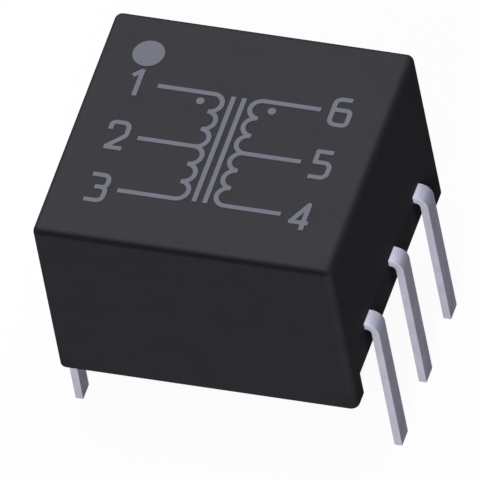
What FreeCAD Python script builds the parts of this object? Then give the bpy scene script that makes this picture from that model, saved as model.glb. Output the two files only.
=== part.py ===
import FreeCAD, Part
import math
import os

import Sketcher

# Encapsulated transformer with six through-hole pins, in millimetres.
# The origin is the centre of the pin grid on the seating plane, where the feet of the case meet the board.
# +Z is up, X runs across the two rows of pins, Y along them, and pin 1 is at -X and +Y.

SIZES = [
    ("case_width", 9.53, "case, across the pin rows"),
    ("case_depth", 8.92, "case, along the pin rows"),
    ("case_height", 6.35, "case, from the seating plane to the top face"),
    ("case_edge_radius", 0.25, "rounding of the upright and top edges of the case"),
    ("foot_wall", 0.70, "thickness of the front and back walls, which form the feet"),
    ("side_wall", 0.70, "thickness of the side walls, which the pins pass through"),
    ("roof_thickness", 0.70, "thickness of the top of the case"),
    ("side_wall_lift", 0.90, "height of the side walls above the seating plane"),
    ("potting_recess", 0.10, "how far the potting stays behind the lower edge of the side walls"),
    ("pin_pitch", 2.54, "pin to pin along a row"),
    ("row_spacing", 10.16, "pin row to pin row, between the centres of the legs"),
    ("pin_width", 0.60, "width of a pin along the row"),
    ("pin_thickness", 0.25, "thickness of the pin strip"),
    ("pin_exit_height", 2.13, "upper face of a pin where it leaves the case"),
    ("pin_bend_radius", 0.16, "inner radius of the bend"),
    ("pin_reach_below", 3.46, "length of a leg below the seating plane"),
    ("pin_tail", 0.65, "length of a pin inside the side wall"),
    ("core_diameter", 5.84, "outer diameter of the ferrite ring"),
    ("core_bore", 3.05, "inner diameter of the ferrite ring"),
    ("core_height", 1.52, "height of the ferrite ring"),
    ("core_edge_radius", 0.15, "rounding of the edges of the ferrite ring"),
    ("coating_thickness", 0.10, "insulating coat on the ferrite ring"),
    ("core_stand_off", 0.85, "from the pin tails up to the coated ring"),
    ("wire_diameter", 0.15, "enamelled wire"),
    ("wire_gap", 0.02, "resin between a wire and what it lies on"),
    ("turn_angle", 7.5, "from one turn to the next, in degrees"),
    ("paired_wire_spacing", 0.20, "between the two wires on a centre tap"),
    ("wire_end_margin", 0.16, "from a wire's end to the side wall, and past the tail"),
    ("solder_radius", 0.26, "solder joint on a pin tail"),
    ("solder_rise", 0.04, "centre of a solder joint above the pin tail"),
    ("ink_thickness", 0.02, "printing ink on the top face"),
    ("ink_stroke", 0.15, "width of a printed line"),
    ("dot_diameter", 1.00, "printed dot that marks pin 1"),
    ("dot_y", 2.93, "centre of the dot along Y"),
    ("print_column", 3.25, "dot and pin numbers, from the middle of the face"),
    ("diagram_row_pitch", 2.10, "between the three leads of a printed coil"),
    ("diagram_middle_y", -0.35, "middle lead of the printed diagram"),
    ("diagram_lead_end", 2.60, "outer end of the printed leads"),
    ("diagram_coil_x", 0.80, "printed coils, from the middle of the face"),
    ("diagram_bar_x", 0.17, "printed core bars, from the middle of the face"),
    ("number_height", 1.00, "printed pin numbers"),
    ("number_width", 0.56, "printed pin numbers"),
    ("number_corner", 0.20, "rounding of the printed pin numbers"),
    ("polarity_dot_diameter", 0.26, "printed dot at the start of a coil"),
    ("polarity_dot_offset", 0.34, "from a printed coil and its top lead to the polarity dot"),
]

PINS_PER_ROW = 3
TURNS_PER_COIL = 9
HUMPS_PER_HALF = 3

# Two places closer than this, in millimetres, are one.
TOLERANCE = 1e-6
# A bend takes no more than this share of a straight run, so that two bends fit on it.
BEND_SHARE = 0.45

# Each coil covers one quarter of the ring: its name, middle angle, first pin and last pin.
COILS = [
    ("primary_coil_a", 135, 1, 2),
    ("primary_coil_b", 225, 2, 3),
    ("secondary_coil_a", 315, 4, 5),
    ("secondary_coil_b", 45, 5, 6),
]

# Strokes of the pin numbers, as shares of the number's width and height from its lower left corner.
NUMBER_STROKES = {
    1: [[(0.10, 0.76), (0.55, 0.98)], [(0.55, 1.04), (0.55, 0.0)]],
    2: [[(0.0, 0.70), (0.0, 1.0), (1.0, 1.0), (1.0, 0.52), (0.05, 0.0)], [(0.0, 0.0), (1.0, 0.0)]],
    3: [
        [(0.0, 1.0), (1.0, 1.0), (1.0, 0.53), (0.35, 0.53)],
        [(0.35, 0.53), (1.0, 0.53), (1.0, 0.0), (0.0, 0.0)],
    ],
    4: [[(0.72, 0.0), (0.72, 1.0)], [(0.72, 1.0), (0.0, 0.28)], [(0.0, 0.28), (1.0, 0.28)]],
    5: [
        [(0.95, 1.0), (0.10, 1.0)],
        [(0.10, 1.0), (0.10, 0.58)],
        [(0.10, 0.58), (1.0, 0.58), (1.0, 0.0), (0.0, 0.0)],
    ],
    6: [
        [(0.90, 1.0), (0.0, 1.0), (0.0, 0.0), (1.0, 0.0), (1.0, 0.30)],
        [(1.0, 0.30), (1.0, 0.58), (0.0, 0.58)],
    ],
}


class Size:
    """A length known both as a number and as an expression of the sheet's cells."""

    def __init__(self, number, text):
        self.number = number
        self.text = text

    def __float__(self):
        return float(self.number)

    def __add__(self, other):
        return Size(float(self) + float(other), f"({self.text} + {as_text(other)})")

    def __sub__(self, other):
        return Size(float(self) - float(other), f"({self.text} - {as_text(other)})")

    def __mul__(self, other):
        return Size(float(self) * float(other), f"({self.text} * {as_text(other)})")

    def __truediv__(self, other):
        return Size(float(self) / float(other), f"({self.text} / {as_text(other)})")

    def __neg__(self):
        return Size(-float(self), f"(0 - {self.text})")


def as_text(value):
    return value.text if isinstance(value, Size) else repr(float(value))


SIZE = {alias: Size(value, f"Sizes.{alias}") for alias, value, _ in SIZES}


# Places that several pieces share

cavity_half_width = SIZE["case_width"] / 2 - SIZE["side_wall"]
cavity_half_depth = SIZE["case_depth"] / 2 - SIZE["foot_wall"]
cavity_top = SIZE["case_height"] - SIZE["roof_thickness"]
potting_face = SIZE["side_wall_lift"] + SIZE["potting_recess"]
tail_end = cavity_half_width - SIZE["pin_tail"]
coated_radius = SIZE["core_diameter"] / 2 + SIZE["coating_thickness"]
coated_bore = SIZE["core_bore"] / 2 - SIZE["coating_thickness"]
coated_bottom = SIZE["pin_exit_height"] + SIZE["core_stand_off"]
core_bottom = coated_bottom + SIZE["coating_thickness"]
coated_edge_radius = SIZE["core_edge_radius"] + SIZE["coating_thickness"]
coated_height = SIZE["core_height"] + SIZE["coating_thickness"] * 2


# Helpers of the document


def vector(x, y, z):
    return FreeCAD.Vector(float(x), float(y), float(z))


def bind(item, **sizes):
    """Sets each property of an object, such as Length or Placement.Base.z, by an expression."""
    for name, size in sizes.items():
        item.setExpression(name.replace("__", "."), as_text(size))


def origin_part(body, role):
    return next(part for part in body.Origin.OriginFeatures if part.Role == role)


def new_sketch(body, name, plane):
    sketch = body.newObject("Sketcher::SketchObject", name)
    sketch.AttachmentSupport = [(origin_part(body, plane), "")]
    sketch.MapMode = "FlatFace"
    return sketch


def hold(sketch, name, kind, first, size):
    """Adds a named dimension whose value follows the sheet."""
    index = sketch.addConstraint(Sketcher.Constraint(kind, *first, float(size)))
    sketch.renameConstraint(index, name)
    sketch.setExpression(f"Constraints.{name}", as_text(size))


def draw_rectangle(sketch, left, bottom, width, height):
    """Draws a rectangle from its lower left corner and its two sides."""
    right = left + width
    top = bottom + height
    corners = [vector(x, y, 0) for x, y in ((left, bottom), (right, bottom), (right, top), (left, top))]
    sides = [
        sketch.addGeometry(Part.LineSegment(start, end), False)
        for start, end in zip(corners, corners[1:] + corners[:1])
    ]
    for side, following in zip(sides, sides[1:] + sides[:1]):
        sketch.addConstraint(Sketcher.Constraint("Coincident", side, 2, following, 1))
    for side, direction in zip(sides, ("Horizontal", "Vertical", "Horizontal", "Vertical")):
        sketch.addConstraint(Sketcher.Constraint(direction, side))
    hold(sketch, "left", "DistanceX", (-1, 1, sides[0], 1), left)
    hold(sketch, "bottom", "DistanceY", (-1, 1, sides[0], 1), bottom)
    hold(sketch, "width", "DistanceX", (sides[0], 1, sides[0], 2), width)
    hold(sketch, "height", "DistanceY", (sides[1], 1, sides[1], 2), height)


def edges_where(shape, test):
    """Names the edges whose two ends and middle all pass the test."""
    found = []
    for number, edge in enumerate(shape.Edges, start=1):
        if all(test(point) for point in edge.discretize(Number=3)):
            found.append(f"Edge{number}")
    return found


def fillet(body, name, base, test, radius):
    """Rounds the edges of a body's feature that pass the test."""
    body.Document.recompute()
    rounding = body.newObject("PartDesign::Fillet", name)
    rounding.Base = (base, edges_where(base.Shape, test))
    bind(rounding, Radius=radius)
    return rounding


def cut(doc, name, base, tools):
    """Takes one or more objects out of another."""
    tool = tools[0]
    if len(tools) > 1:
        tool = doc.addObject("Part::MultiFuse", f"{name}_tools")
        tool.Shapes = tools
    result = doc.addObject("Part::Cut", name)
    result.Base = base
    result.Tool = tool
    return result


# Paths of wires and printed lines


def rounded_path(points, radius):
    """Joins points by straight runs and tangent arcs, as tight as the runs allow or of the radius given."""
    edges = []
    start = points[0]
    for before, corner, after in zip(points, points[1:], points[2:]):
        inward = (before - corner).normalize()
        outward = (after - corner).normalize()
        half_turn = (math.pi - inward.getAngle(outward)) / 2
        longest = BEND_SHARE * min(before.distanceToPoint(corner), after.distanceToPoint(corner))
        bend = min(float(radius), longest / math.tan(half_turn))
        reach = bend * math.tan(half_turn)
        arc_start = corner + inward * reach
        arc_end = corner + outward * reach
        arc_middle = corner + (inward + outward).normalize() * (bend / math.cos(half_turn) - bend)
        edges.append(Part.LineSegment(start, arc_start).toShape())
        edges.append(Part.Arc(arc_start, arc_middle, arc_end).toShape())
        start = arc_end
    edges.append(Part.LineSegment(start, points[-1]).toShape())
    return Part.Wire(edges)


def path_start(path):
    """The first point of a path and its direction there."""
    first = path.Edges[0]
    return first.valueAt(first.FirstParameter), first.tangentAt(first.FirstParameter)


def round_wire(path, diameter):
    """Sweeps a round section along a path."""
    point, direction = path_start(path)
    section = Part.Wire([Part.Circle(point, direction, float(diameter) / 2).toShape()])
    sweep = Part.BRepOffsetAPI.MakePipeShell(path)
    sweep.setFrenetMode(False)
    sweep.add(section)
    sweep.build()
    sweep.makeSolid()
    return sweep.shape()


def ink_line(path):
    """Sweeps the flat section of a printed line along a level path."""
    point, direction = path_start(path)
    upward = vector(0, 0, 1)
    side = upward.cross(direction) * (float(SIZE["ink_stroke"]) / 2)
    rise = upward * float(SIZE["ink_thickness"])
    left = point + side
    right = point - side
    sweep = Part.BRepOffsetAPI.MakePipeShell(path)
    sweep.setBiNormalMode(upward)
    sweep.add(Part.makePolygon([left, right, right + rise, left + rise, left]))
    sweep.build()
    sweep.makeSolid()
    return sweep.shape()


def ink_dot(x, y, diameter):
    centre = vector(x, y, SIZE["case_height"])
    return Part.makeCylinder(float(diameter) / 2, float(SIZE["ink_thickness"]), centre)


def merged(shapes):
    """Fuses shapes that overlap into as few solids as they make."""
    return shapes[0].multiFuse(shapes[1:]).removeSplitter()


# Pins


def pin_place(number):
    """The side of a pin, -1 or +1 along X, and its place along Y. Numbers run round the case from pin 1."""
    if number <= PINS_PER_ROW:
        side, row = -1, (PINS_PER_ROW + 1) / 2 - number
    else:
        side, row = 1, number - PINS_PER_ROW - (PINS_PER_ROW + 1) / 2
    return side, SIZE["pin_pitch"] * row


def draw_pin_side(sketch):
    """Draws the side view of a pin on +X: tail, bend and leg, with both arcs round one centre."""
    thickness = SIZE["pin_thickness"]
    leg_outside = SIZE["row_spacing"] / 2 + thickness / 2
    leg_inside = SIZE["row_spacing"] / 2 - thickness / 2
    inner = SIZE["pin_bend_radius"]
    outer = inner + thickness
    bend_x = leg_inside - inner
    underside = SIZE["pin_exit_height"] - thickness
    bend_z = underside - inner
    tip = -SIZE["pin_reach_below"]

    def line(x1, z1, x2, z2):
        return sketch.addGeometry(Part.LineSegment(vector(x1, z1, 0), vector(x2, z2, 0)), False)

    def arc(radius):
        circle = Part.Circle(vector(bend_x, bend_z, 0), vector(0, 0, 1), float(radius))
        return sketch.addGeometry(Part.ArcOfCircle(circle, 0, math.pi / 2), False)

    top = line(tail_end, SIZE["pin_exit_height"], bend_x, SIZE["pin_exit_height"])
    outside = line(leg_outside, bend_z, leg_outside, tip)
    tip_face = line(leg_outside, tip, leg_inside, tip)
    inside = line(leg_inside, tip, leg_inside, bend_z)
    bottom = line(bend_x, underside, tail_end, underside)
    tail_face = line(tail_end, underside, tail_end, SIZE["pin_exit_height"])
    outer_arc = arc(outer)
    inner_arc = arc(inner)
    for pair in (
        (top, 2, outer_arc, 2),
        (outside, 1, outer_arc, 1),
        (inside, 2, inner_arc, 1),
        (bottom, 1, inner_arc, 2),
    ):
        sketch.addConstraint(Sketcher.Constraint("Tangent", *pair))
    for pair in (
        (outside, 2, tip_face, 1),
        (tip_face, 2, inside, 1),
        (bottom, 2, tail_face, 1),
        (tail_face, 2, top, 1),
        (outer_arc, 3, inner_arc, 3),
    ):
        sketch.addConstraint(Sketcher.Constraint("Coincident", *pair))
    for level in (top, tip_face):
        sketch.addConstraint(Sketcher.Constraint("Horizontal", level))
    for upright in (outside, tail_face):
        sketch.addConstraint(Sketcher.Constraint("Vertical", upright))
    hold(sketch, "tail_end", "DistanceX", (-1, 1, top, 1), tail_end)
    hold(sketch, "exit_height", "DistanceY", (-1, 1, top, 1), SIZE["pin_exit_height"])
    hold(sketch, "leg_outside", "DistanceX", (-1, 1, outside, 2), leg_outside)
    hold(sketch, "tip", "DistanceY", (outside, 2, -1, 1), SIZE["pin_reach_below"])
    hold(sketch, "thickness", "DistanceX", (tip_face, 2, tip_face, 1), thickness)
    hold(sketch, "bend_radius", "Radius", (inner_arc,), inner)


def build_pin(doc, number):
    """A flat strip that is bent down outside the case and ends in a tail inside it."""
    body = doc.addObject("PartDesign::Body", f"pin_{number}")
    sketch = new_sketch(body, f"pin_{number}_side", "XZ_Plane")
    draw_pin_side(sketch)
    strip = body.newObject("PartDesign::Pad", f"pin_{number}_strip")
    strip.Profile = sketch
    strip.Midplane = True
    bind(strip, Length=SIZE["pin_width"])
    side, along = pin_place(number)
    body.Placement.Rotation = FreeCAD.Rotation(vector(0, 0, 1), 0 if side > 0 else 180)
    bind(body, Placement__Base__y=along)
    return body


# Case


def build_case(doc):
    """A box open at the bottom, with low side walls between two feet and a slot for each pin."""
    body = doc.addObject("PartDesign::Body", "case")
    outline = new_sketch(body, "case_outline", "XY_Plane")
    width = SIZE["case_width"]
    depth = SIZE["case_depth"]
    draw_rectangle(outline, -width / 2, -depth / 2, width, depth)
    block = body.newObject("PartDesign::Pad", "case_block")
    block.Profile = outline
    bind(block, Length=SIZE["case_height"])

    def on_rounded_edge(point):
        on_top = abs(point.z - float(SIZE["case_height"])) < TOLERANCE
        at_side = abs(abs(point.x) - float(width) / 2) < TOLERANCE
        at_end = abs(abs(point.y) - float(depth) / 2) < TOLERANCE
        return (at_side and at_end) or (on_top and (at_side or at_end))

    fillet(body, "case_rounding", block, on_rounded_edge, SIZE["case_edge_radius"])

    cavity_outline = new_sketch(body, "cavity_outline", "XY_Plane")
    draw_rectangle(
        cavity_outline, -cavity_half_width, -cavity_half_depth, cavity_half_width * 2, cavity_half_depth * 2
    )
    cavity = body.newObject("PartDesign::Pocket", "cavity")
    cavity.Profile = cavity_outline
    cavity.Reversed = True
    bind(cavity, Length=cavity_top)

    channel_outline = new_sketch(body, "channel_outline", "YZ_Plane")
    draw_rectangle(
        channel_outline,
        -cavity_half_depth,
        -SIZE["side_wall_lift"],
        cavity_half_depth * 2,
        SIZE["side_wall_lift"] * 2,
    )
    channel = body.newObject("PartDesign::Pocket", "channel")
    channel.Profile = channel_outline
    channel.Midplane = True
    channel.Type = "ThroughAll"

    slot_outline = new_sketch(body, "pin_slot_outline", "YZ_Plane")
    draw_rectangle(
        slot_outline,
        -SIZE["pin_pitch"] * (PINS_PER_ROW - 1) / 2 - SIZE["pin_width"] / 2,
        SIZE["pin_exit_height"] - SIZE["pin_thickness"],
        SIZE["pin_width"],
        SIZE["pin_thickness"],
    )
    slot = body.newObject("PartDesign::Pocket", "pin_slot")
    slot.Profile = slot_outline
    slot.Midplane = True
    slot.Type = "ThroughAll"
    doc.recompute()
    slots = body.newObject("PartDesign::LinearPattern", "pin_slots")
    slots.Originals = [slot]
    slots.Direction = (origin_part(body, "Y_Axis"), [""])
    slots.Occurrences = PINS_PER_ROW
    bind(slots, Length=SIZE["pin_pitch"] * (PINS_PER_ROW - 1))
    body.Tip = slots
    return body


# Core


def build_ring(doc, name, bore_radius, outer_radius, bottom, height, edge_radius):
    """A ring of rectangular section with rounded edges."""
    body = doc.addObject("PartDesign::Body", name)
    section = new_sketch(body, f"{name}_section", "XZ_Plane")
    draw_rectangle(section, bore_radius, bottom, outer_radius - bore_radius, height)
    ring = body.newObject("PartDesign::Revolution", f"{name}_ring")
    ring.Profile = section
    ring.ReferenceAxis = (origin_part(body, "Z_Axis"), [""])
    ring.Angle = 360
    levels = (float(bottom), float(bottom + height))
    radii = (float(bore_radius), float(outer_radius))

    def on_rim(point):
        radius = math.hypot(point.x, point.y)
        at_level = any(abs(point.z - level) < TOLERANCE for level in levels)
        return at_level and any(abs(radius - rim) < TOLERANCE for rim in radii)

    fillet(body, f"{name}_rounding", ring, on_rim, edge_radius)
    return body


def build_core(doc):
    """The ferrite ring, its coat, and the solid that fills both."""
    ferrite = build_ring(
        doc,
        "ferrite_core",
        SIZE["core_bore"] / 2,
        SIZE["core_diameter"] / 2,
        core_bottom,
        SIZE["core_height"],
        SIZE["core_edge_radius"],
    )
    coated = build_ring(
        doc, "coated_ring", coated_bore, coated_radius, coated_bottom, coated_height, coated_edge_radius
    )
    coating = cut(doc, "core_coating", coated, [ferrite])
    return ferrite, coated, coating


# Coils

wire_stand_off = SIZE["wire_gap"] + SIZE["wire_diameter"] / 2
outer_wire_radius = coated_radius + wire_stand_off
inner_wire_radius = coated_bore - wire_stand_off
upper_wire_level = coated_bottom + coated_height + wire_stand_off
lower_wire_level = coated_bottom - wire_stand_off
lead_level = SIZE["pin_exit_height"] + wire_stand_off
wire_bend_radius = coated_edge_radius + wire_stand_off


def polar(radius, angle, level):
    turn = math.radians(angle)
    return vector(float(radius) * math.cos(turn), float(radius) * math.sin(turn), level)


def wire_landing(pin, coil_angle):
    """The two ends of the stretch of wire that lies on a pin's tail: at the wall, and past the tail."""
    side, along = pin_place(pin)
    shared = sum(pin in (first, last) for _, _, first, last in COILS) > 1
    offset = float(SIZE["paired_wire_spacing"]) / 2 if shared else 0
    y = float(along) + math.copysign(offset, math.sin(math.radians(coil_angle)))
    at_wall = cavity_half_width - SIZE["wire_end_margin"]
    past_tail = tail_end - SIZE["wire_end_margin"]
    return vector(at_wall * side, y, lead_level), vector(past_tail * side, y, lead_level)


def coil_points(middle_angle, first_pin, last_pin):
    """The wire's corners: in from one pin, round the ring turn by turn, and out to the other pin."""
    step = float(SIZE["turn_angle"])
    start_angle = middle_angle - step * (TURNS_PER_COIL - 1) / 2
    at_wall, past_tail = wire_landing(first_pin, middle_angle)
    points = [at_wall, past_tail]
    for turn in range(TURNS_PER_COIL):
        angle = start_angle + step * turn
        rising_from = lead_level if turn == 0 else lower_wire_level
        falling_to = lead_level if turn == TURNS_PER_COIL - 1 else lower_wire_level
        points += [
            polar(outer_wire_radius, angle, rising_from),
            polar(outer_wire_radius, angle, upper_wire_level),
            polar(inner_wire_radius, angle, upper_wire_level),
            polar(inner_wire_radius, angle, falling_to),
        ]
    at_wall, past_tail = wire_landing(last_pin, middle_angle)
    return points + [past_tail, at_wall]


def build_coil(doc, name, middle_angle, first_pin, last_pin):
    coil = doc.addObject("Part::Feature", name)
    path = rounded_path(coil_points(middle_angle, first_pin, last_pin), wire_bend_radius)
    coil.Shape = round_wire(path, SIZE["wire_diameter"])
    section = math.pi * float(SIZE["wire_diameter"]) ** 2 / 4
    print(f"{name}: {coil.Shape.Volume / (section * path.Length):.4f} of section times length")
    return coil


def build_solder_bead(doc, number):
    """A round bead on the pin's tail, over the wire ends that lie there."""
    bead = doc.addObject("Part::Sphere", f"solder_bead_{number}")
    side, along = pin_place(number)
    bind(
        bead,
        Radius=SIZE["solder_radius"],
        Placement__Base__x=(cavity_half_width - SIZE["pin_tail"] / 2) * side,
        Placement__Base__y=along,
        Placement__Base__z=SIZE["pin_exit_height"] + SIZE["solder_rise"],
    )
    return bead


def build_solder_joint(doc, number, bead, pin, coils):
    """The solder of a bead: what the pin and the wires leave of it."""
    landing = [coil for (_, _, first, last), coil in zip(COILS, coils) if number in (first, last)]
    return cut(doc, f"solder_joint_{number}", bead, [pin] + landing)


# Potting


def build_potting(doc, embedded):
    """The resin that fills the case from its roof down to just inside the side walls."""
    block = doc.addObject("Part::Box", "potting_block")
    bind(
        block,
        Length=cavity_half_width * 2,
        Width=cavity_half_depth * 2,
        Height=cavity_top - potting_face,
        Placement__Base__x=-cavity_half_width,
        Placement__Base__y=-cavity_half_depth,
        Placement__Base__z=potting_face,
    )
    return cut(doc, "potting_compound", block, embedded)


# Print on the top face


def print_path(points, radius=0):
    """A level path on the top face. Without a radius it is one straight line."""
    level = [vector(x, y, SIZE["case_height"]) for x, y in points]
    if len(level) == 2:
        return Part.Wire([Part.LineSegment(*level).toShape()])
    return rounded_path(level, radius)


def hump(x, y, radius, bulge):
    """Half a circle that starts at x, y, bulges to one side and ends one diameter lower."""
    level = SIZE["case_height"]
    top = vector(x, y, level)
    middle = vector(x + bulge * radius, y - radius, level)
    bottom = vector(x, y - 2 * radius, level)
    return Part.Wire([Part.Arc(top, middle, bottom).toShape()])


def printed_winding(side):
    """One coil of the diagram with its three leads, on the left for -1 and on the right for +1."""
    pitch = float(SIZE["diagram_row_pitch"])
    middle = float(SIZE["diagram_middle_y"])
    coil_x = side * float(SIZE["diagram_coil_x"])
    lead_end = side * float(SIZE["diagram_lead_end"])
    radius = pitch / HUMPS_PER_HALF / 2
    humps = [
        hump(coil_x, middle + pitch - 2 * radius * number, radius, -side)
        for number in range(2 * HUMPS_PER_HALF)
    ]
    rows = [middle + pitch * row for row in (1, 0, -1)]
    leads = [print_path([(lead_end, row), (coil_x, row)]) for row in rows]
    return merged([ink_line(path) for path in humps + leads])


def build_winding_diagram(doc):
    """The usual sign for two tapped windings: two coils, two core bars and polarity dots."""
    pitch = float(SIZE["diagram_row_pitch"])
    middle = float(SIZE["diagram_middle_y"])
    offset = float(SIZE["polarity_dot_offset"])
    shapes = []
    for side in (-1, 1):
        bar_x = side * float(SIZE["diagram_bar_x"])
        bar = print_path([(bar_x, middle - pitch), (bar_x, middle + pitch)])
        dot_x = side * (float(SIZE["diagram_coil_x"]) + offset)
        dot = ink_dot(dot_x, middle + pitch - offset, SIZE["polarity_dot_diameter"])
        shapes += [printed_winding(side), ink_line(bar), dot]
    diagram = doc.addObject("Part::Feature", "winding_diagram")
    diagram.Shape = Part.Compound(shapes)
    return diagram


def printed_number(number):
    """A pin number beside the lead that it belongs to."""
    side, along = pin_place(number)
    row = float(along) / float(SIZE["pin_pitch"])
    width = float(SIZE["number_width"])
    height = float(SIZE["number_height"])
    left = side * float(SIZE["print_column"]) - width / 2
    bottom = float(SIZE["diagram_middle_y"]) + row * float(SIZE["diagram_row_pitch"]) - height / 2
    lines = []
    for stroke in NUMBER_STROKES[number]:
        points = [(left + across * width, bottom + up * height) for across, up in stroke]
        lines.append(ink_line(print_path(points, SIZE["number_corner"])))
    return merged(lines) if len(lines) > 1 else lines[0]


def build_pin_numbers(doc):
    numbers = doc.addObject("Part::Feature", "pin_numbers")
    numbers.Shape = Part.Compound([printed_number(number) for number in sorted(NUMBER_STROKES)])
    return numbers


def build_dot(doc):
    """The round dot in the corner of pin 1."""
    dot = doc.addObject("Part::Cylinder", "pin_one_dot")
    bind(
        dot,
        Radius=SIZE["dot_diameter"] / 2,
        Height=SIZE["ink_thickness"],
        Placement__Base__x=-SIZE["print_column"],
        Placement__Base__y=SIZE["dot_y"],
        Placement__Base__z=SIZE["case_height"],
    )
    return dot


# Document


def fill_sheet(doc):
    """Writes each driving dimension to a row of the sheet: what it is, and its value under its alias."""
    sheet = doc.addObject("Spreadsheet::Sheet", "Sizes")
    for row, (alias, value, meaning) in enumerate(SIZES, start=1):
        sheet.set(f"A{row}", meaning)
        sheet.set(f"B{row}", str(value))
        sheet.setAlias(f"B{row}", alias)
    doc.recompute()


def check(doc, subparts):
    """Stops if an object failed or a sub-part isn't a whole solid."""
    for item in doc.Objects:
        if "Invalid" in item.State or "Error" in item.State:
            raise RuntimeError(f"{item.Name} failed: {item.State}")
    for item in subparts:
        shape = item.Shape
        if shape.isNull() or not shape.isValid() or not shape.Solids:
            raise RuntimeError(f"{item.Label} isn't a valid solid")
        print(f"{item.Label}: {len(shape.Solids)} solids, {shape.Volume:.4f} mm3")


def export(subparts):
    os.makedirs("parts", exist_ok=True)
    for item in subparts:
        item.Shape.exportStep(f"parts/{item.Label}.step")


def main():
    doc = FreeCAD.newDocument("transformer")
    fill_sheet(doc)
    case = build_case(doc)
    pins = [build_pin(doc, number) for number in range(1, 2 * PINS_PER_ROW + 1)]
    ferrite, coated, coating = build_core(doc)
    coils = [build_coil(doc, *coil) for coil in COILS]
    beads = [build_solder_bead(doc, number) for number in range(1, 2 * PINS_PER_ROW + 1)]
    joints = [
        build_solder_joint(doc, number, bead, pin, coils)
        for number, (bead, pin) in enumerate(zip(beads, pins), start=1)
    ]
    potting = build_potting(doc, [coated] + coils + pins + beads)
    prints = [build_dot(doc), build_winding_diagram(doc), build_pin_numbers(doc)]
    doc.recompute()
    subparts = [case, *pins, ferrite, coating, *coils, *joints, potting, *prints]
    check(doc, subparts)
    export(subparts)


main()
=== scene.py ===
"""Looks of a potted transformer with six through-hole pins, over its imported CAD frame.

Pieces are shaped in millimetres with bmesh operators and brought to metres when they are done.
X runs across the two rows of pins, Y along them, and +Z points away from the board.
"""

import logging
import math
from collections.abc import Callable, Iterable, Sequence
from dataclasses import dataclass, field
from enum import Enum
from typing import Protocol

import bmesh
import bpy
from mathutils import Matrix, Vector


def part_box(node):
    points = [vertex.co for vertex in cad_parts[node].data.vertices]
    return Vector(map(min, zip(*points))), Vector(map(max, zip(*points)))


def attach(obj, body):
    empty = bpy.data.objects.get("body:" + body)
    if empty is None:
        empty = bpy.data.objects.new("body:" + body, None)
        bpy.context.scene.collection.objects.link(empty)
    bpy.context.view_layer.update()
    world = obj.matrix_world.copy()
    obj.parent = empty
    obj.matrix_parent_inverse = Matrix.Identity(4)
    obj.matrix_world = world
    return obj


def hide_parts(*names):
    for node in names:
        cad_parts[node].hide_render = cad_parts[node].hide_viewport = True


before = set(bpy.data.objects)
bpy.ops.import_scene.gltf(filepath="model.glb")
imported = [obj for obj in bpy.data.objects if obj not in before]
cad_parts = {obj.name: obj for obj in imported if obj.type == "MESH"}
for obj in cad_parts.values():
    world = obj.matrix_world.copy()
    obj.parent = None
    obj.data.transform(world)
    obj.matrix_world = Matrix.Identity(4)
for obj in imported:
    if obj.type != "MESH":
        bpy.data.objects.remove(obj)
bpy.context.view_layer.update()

log = logging.getLogger("transformer")

Colour = tuple[float, float, float]
# Where something starts and where it is full.
Ramp = tuple[float, float]
Socket = bpy.types.NodeSocket
# A constant for a node's input, or the output that feeds it.
Source = Socket | float | tuple
Geometry = bmesh.types.BMVert | bmesh.types.BMEdge | bmesh.types.BMFace

MM = 0.001
BODY = "root"
PIN_NUMBERS = range(1, 7)
# Vertex values from 0 to 1: how much painted highlight a place gets, and how much painted shade.
HIGHLIGHT_VALUE = "painted_highlight"
SHADE_VALUE = "painted_shade"
# Places closer than this, in millimetres, are one, and vertices of a finished piece are welded.
NEAR = 0.001
WELD = 0.0001
# A face is square to an axis when its normal has this share of it.
SQUARE = 0.9
# Faces that meet at a wider angle than this keep a sharp edge between them.
SHARP_ANGLE = math.radians(35)
# A noise's values nearly all lie in this middle part of their range.
NOISE_MIDDLE: Ramp = (0.3, 0.7)
WHOLE: Ramp = (0.0, 1.0)
WHITE: Colour = (1.0, 1.0, 1.0)
DUST_COLOUR: Colour = (0.45, 0.44, 0.42)


class Slot(Enum):
    """The record's material slots."""

    CASE = "case_plastic"
    RESIN = "potting_resin"
    PIN = "tinned_metal"
    FERRITE = "ferrite"
    LACQUER = "core_lacquer"
    WIRE = "enamelled_wire"
    SOLDER = "solder"
    INK = "grey_ink"


class Relief(Enum):
    """The fine relief of a surface, each made by a node group of its own."""

    GRAIN = "moulded_grain"
    STREAKS = "rolled_streaks"
    PORES = "sintered_pores"
    FLOW = "poured_waves"


class Side(Enum):
    """The two rows of pins."""

    LEFT = -1
    RIGHT = 1


class Axis(Enum):
    """The object's three axes."""

    X = 0
    Y = 1
    Z = 2


# Node trees


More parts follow.
